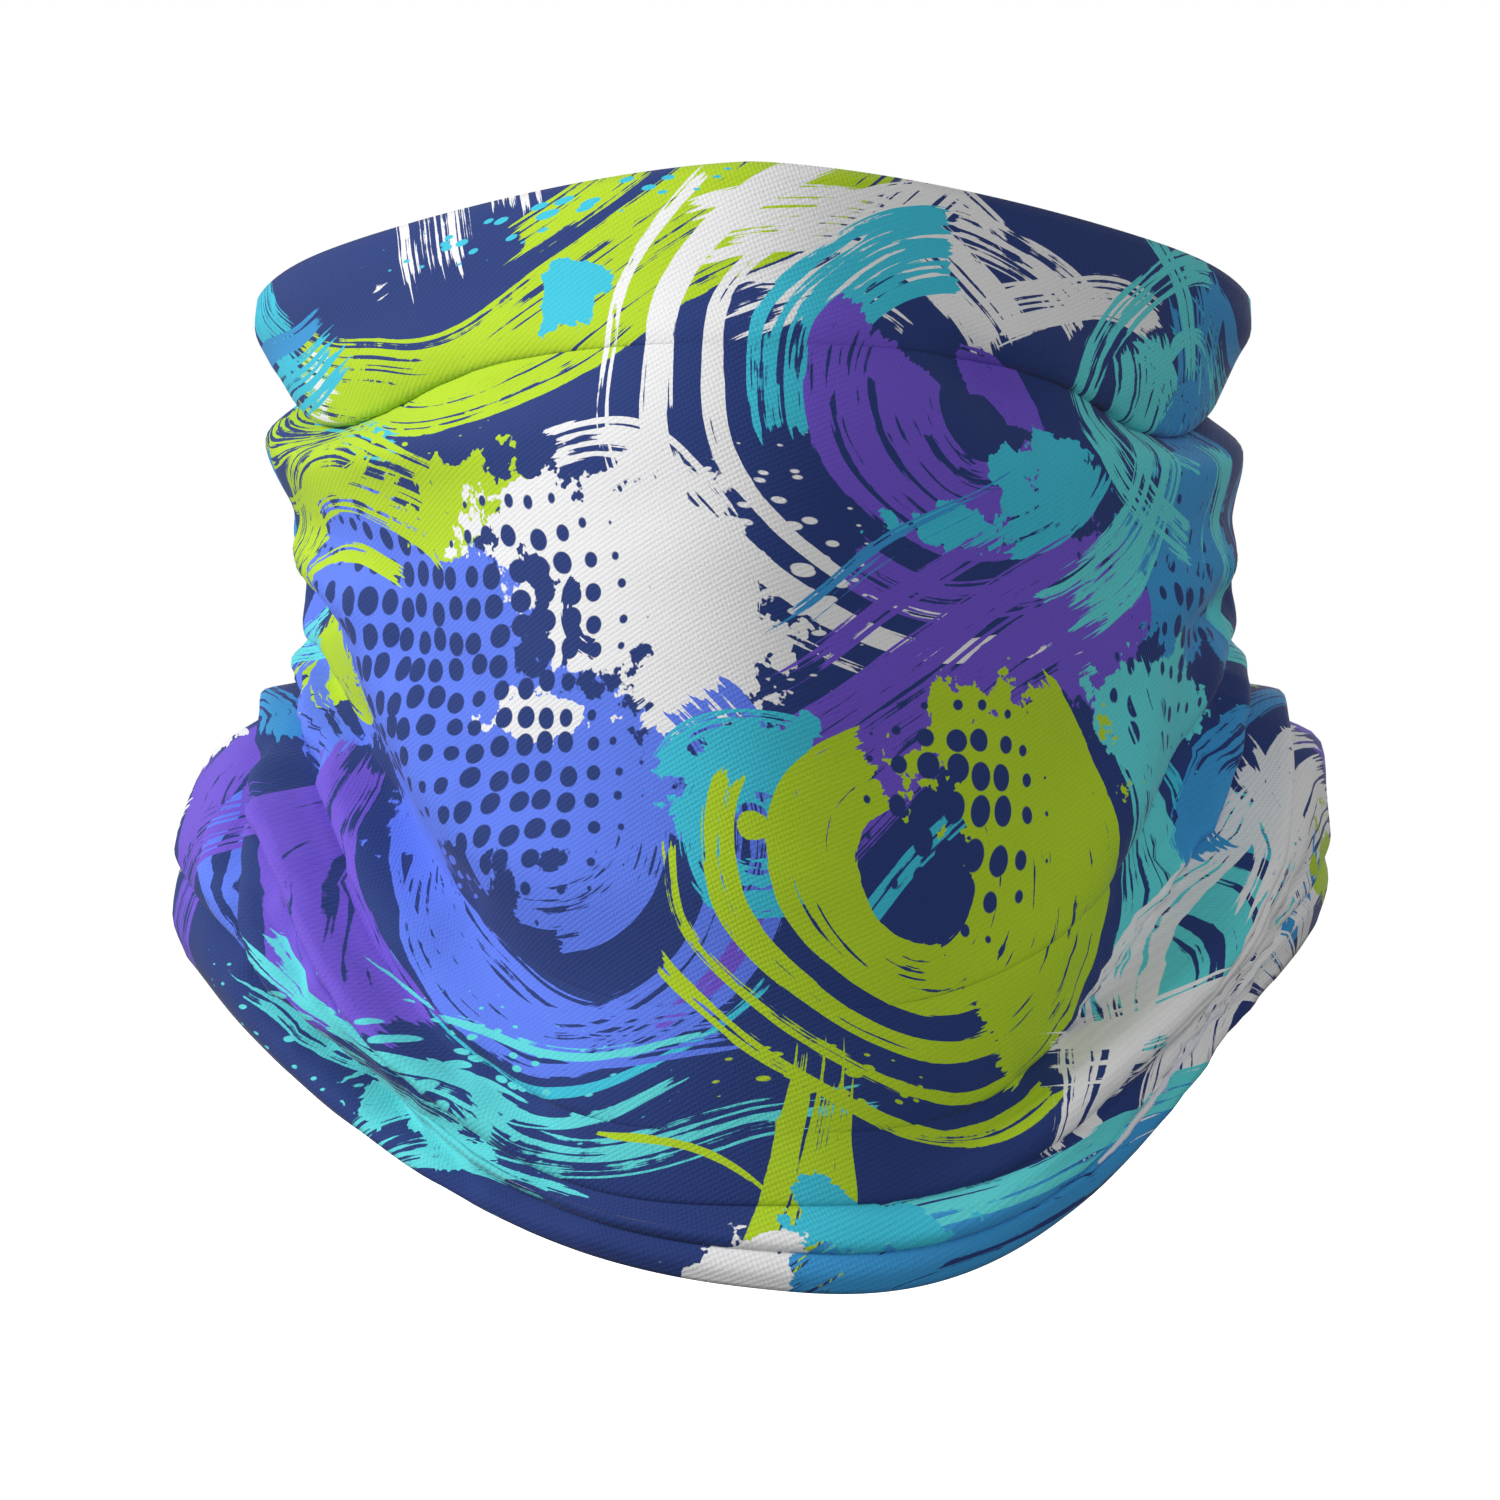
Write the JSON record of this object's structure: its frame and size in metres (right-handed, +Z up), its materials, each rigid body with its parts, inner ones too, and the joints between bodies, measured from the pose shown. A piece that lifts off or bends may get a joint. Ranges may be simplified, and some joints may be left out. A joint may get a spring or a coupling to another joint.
{
  "type": "neck gaiter",
  "caption": "Printed knit tube worn round the neck and pulled up over the nose, with a flat back seam and a loop label inside.",
  "frame": {"origin": "centre of the bounding box's bottom, level with the lowest point of the hem and under the wearer's neck", "axes": "+Z up along the neck, -Y towards the wearer's front, +X to the right of someone facing the wearer"},
  "size_m": [0.1876, 0.1866, 0.1708],
  "materials": {
    "printed_knit": "matt polyester knit with a bright all-over print on navy outside and a plain white inside",
    "navy_thread": "fine textured polyester thread",
    "label_satin": "soft white satin ribbon"
  },
  "bodies": {
    "tube": {"fabric_panel": "printed_knit", "seam_cover_thread": "navy_thread", "seam_looper_thread": "navy_thread", "seam_needle_thread_1": "navy_thread", "seam_needle_thread_2": "navy_thread", "seam_needle_thread_3": "navy_thread", "seam_needle_thread_4": "navy_thread", "bartack_top": "navy_thread", "bartack_bottom": "navy_thread"},
    "label": {"care_label": "label_satin"}
  },
  "joints": [
    {"name": "label_flap", "type": "hinge", "parent": "tube", "child": "label", "pos_m": [-0.00003, 0.08484, 0.12019], "axis": [0, 0, -1], "range_deg": [0, 150]}
  ]
}
